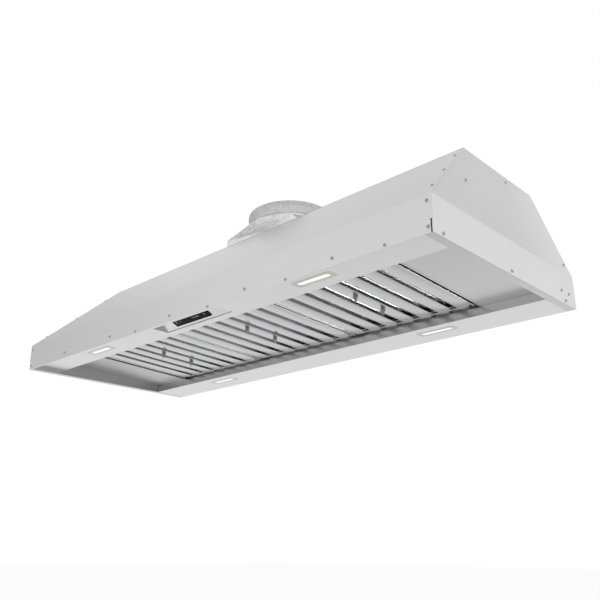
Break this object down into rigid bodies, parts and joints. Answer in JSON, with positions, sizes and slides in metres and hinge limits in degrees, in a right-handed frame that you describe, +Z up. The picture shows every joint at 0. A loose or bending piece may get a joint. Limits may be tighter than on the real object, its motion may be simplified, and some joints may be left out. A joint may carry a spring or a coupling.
{
  "type": "range hood insert",
  "caption": "Wide hipped stainless range hood insert with baffle filters on pull knobs, strip lamps, a slanted touch panel, a twin blower and a round duct collar.",
  "frame": {"origin": "middle of the bottom plane: half way along the width, half way between the front and rear faces, at the height of the rear rail and rims", "axes": "+X along the width to the right as seen from the front, -Y to the front, +Z up to the duct collar"},
  "size_m": [1.524, 0.598, 0.421],
  "materials": {
    "steel": "brushed stainless sheet",
    "bright": "turned and polished stainless",
    "galvanised": "dull galvanised sheet",
    "lens": "frosted lamp lens",
    "glass": "polished black glass",
    "enamel": "satin black enamel",
    "plastic": "matt moulded plastic"
  },
  "bodies": {
    "housing": {"roof_panel": "steel", "front_panel": "steel", "rear_panel": "steel", "left_end_panel": "steel", "right_end_panel": "steel", "front_light_rail": "steel", "rear_light_rail": "steel", "left_rim_channel": "steel", "right_rim_channel": "steel", "left_bank_strip": "steel", "right_bank_strip": "steel", "left_filler_panel": "steel", "right_filler_panel": "steel", "control_plate": "steel", "filter_catch_1": "bright", "filter_catch_2": "bright", "filter_catch_3": "bright", "damper_axle": "bright", "front_left_lamp_housing": "galvanised", "front_right_lamp_housing": "galvanised", "rear_left_lamp_housing": "galvanised", "rear_right_lamp_housing": "galvanised", "duct_transition": "galvanised", "duct_collar": "galvanised", "blower_pan": "galvanised", "left_scroll": "galvanised", "right_scroll": "galvanised", "motor_cradle": "galvanised", "junction_box": "galvanised", "junction_box_cover": "galvanised", "front_left_lamp_lens": "lens", "front_right_lamp_lens": "lens", "rear_left_lamp_lens": "lens", "rear_right_lamp_lens": "lens", "touch_glass": "glass", "motor_body": "enamel", "touch_board": "plastic", "cable_gland": "plastic", "power_module": "plastic", "led_driver": "plastic"},
    "filter_1": {"baffle_filter_1": "steel", "filter_knob_1_front": "bright", "filter_knob_1_rear": "bright"},
    "filter_2": {"baffle_filter_2": "steel", "filter_knob_2_front": "bright", "filter_knob_2_rear": "bright"},
    "filter_3": {"baffle_filter_3": "steel", "filter_knob_3_front": "bright", "filter_knob_3_rear": "bright"},
    "front_flap": {"front_damper_flap": "galvanised"},
    "rear_flap": {"rear_damper_flap": "galvanised"},
    "rotor": {"left_impeller": "galvanised", "right_impeller": "galvanised", "motor_shaft": "bright"}
  },
  "joints": [
    {"name": "filter_1_hinge", "type": "hinge", "parent": "housing", "child": "filter_1", "pos_m": [-0.3815, 0.1755, 0.0315], "axis": [1, 0, 0], "range_deg": [0, 60]},
    {"name": "filter_2_hinge", "type": "hinge", "parent": "housing", "child": "filter_2", "pos_m": [0, 0.1755, 0.0315], "axis": [1, 0, 0], "range_deg": [0, 60]},
    {"name": "filter_3_hinge", "type": "hinge", "parent": "housing", "child": "filter_3", "pos_m": [0.3815, 0.1755, 0.0315], "axis": [1, 0, 0], "range_deg": [0, 60]},
    {"name": "front_flap_hinge", "type": "hinge", "parent": "housing", "child": "front_flap", "pos_m": [0, 0.1115, 0.402], "axis": [-1, 0, 0], "range_deg": [0, 75]},
    {"name": "rear_flap_hinge", "type": "hinge", "parent": "housing", "child": "rear_flap", "pos_m": [0, 0.1115, 0.402], "axis": [1, 0, 0], "range_deg": [0, 75]},
    {"name": "rotor_spin", "type": "hinge", "parent": "housing", "child": "rotor", "pos_m": [0, 0.045, 0.185], "axis": [1, 0, 0], "continuous": true}
  ]
}
